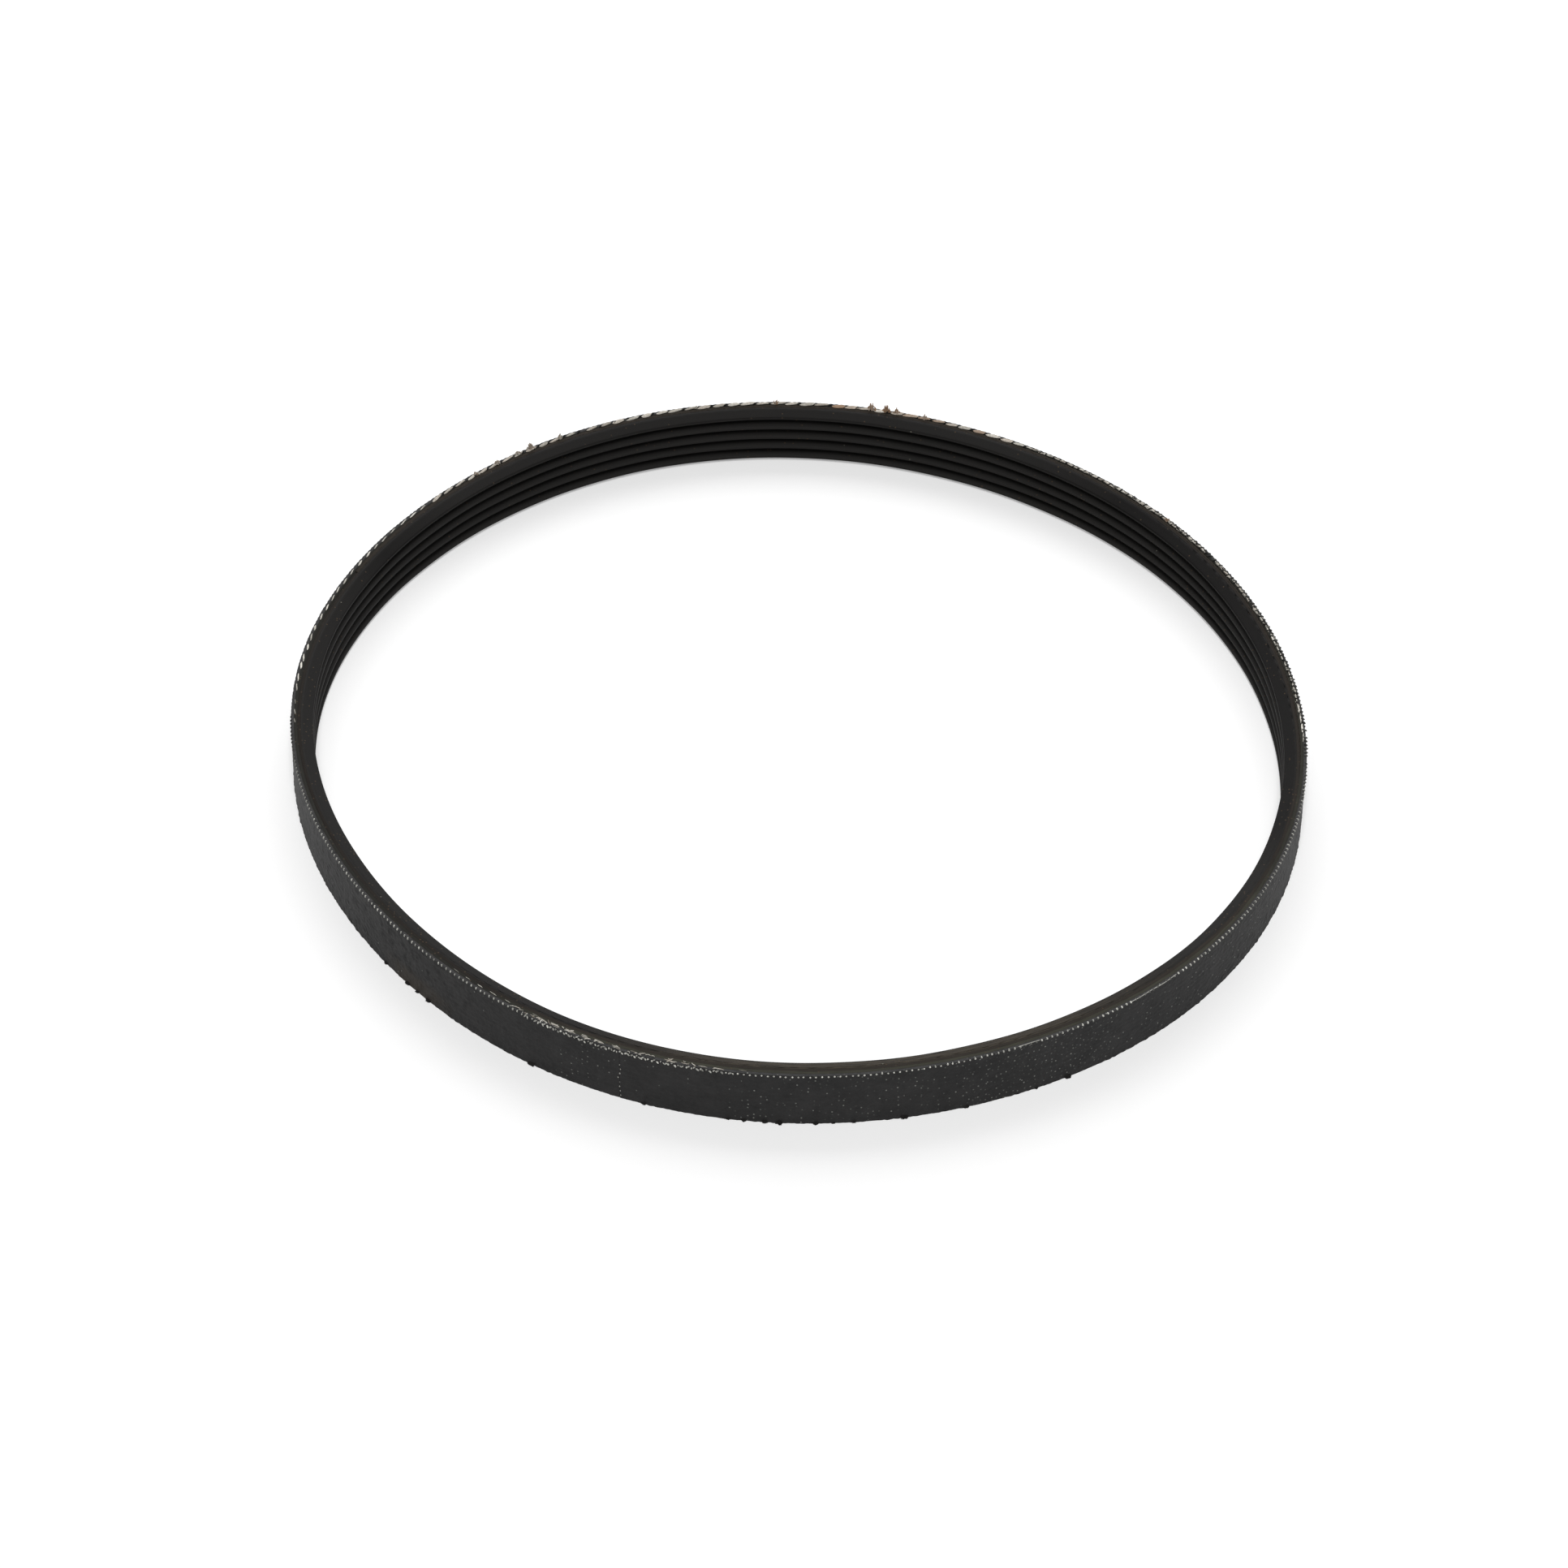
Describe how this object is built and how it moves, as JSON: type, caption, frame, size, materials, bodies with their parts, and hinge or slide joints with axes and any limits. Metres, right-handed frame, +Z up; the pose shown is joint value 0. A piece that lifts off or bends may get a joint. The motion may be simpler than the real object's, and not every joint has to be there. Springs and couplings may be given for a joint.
{
  "type": "v-ribbed drive belt",
  "caption": "Endless V-ribbed drive belt: black rubber loop with lengthwise V ribs inside, a woven cloth back and a wound fibre cord bonded between gum layers.",
  "frame": {"origin": "middle of the loop, on the surface that its lower cut edge lies on", "axes": "+Z up along the loop's axis, across the belt's width; +Y away from the picture's camera, +X to its right"},
  "size_m": [0.1849, 0.1876, 0.0113],
  "materials": {
    "backing_cloth": "matt rubbered canvas",
    "cushion_gum": "matt, knife-cut",
    "tension_cord": "twisted filament",
    "rib_rubber": "matt, ground"
  },
  "bodies": {
    "root": {"backing_cloth": "backing_cloth", "overcord_gum": "cushion_gum", "tension_cord": "tension_cord", "undercord_gum": "cushion_gum", "rib_rubber": "rib_rubber"}
  },
  "joints": []
}
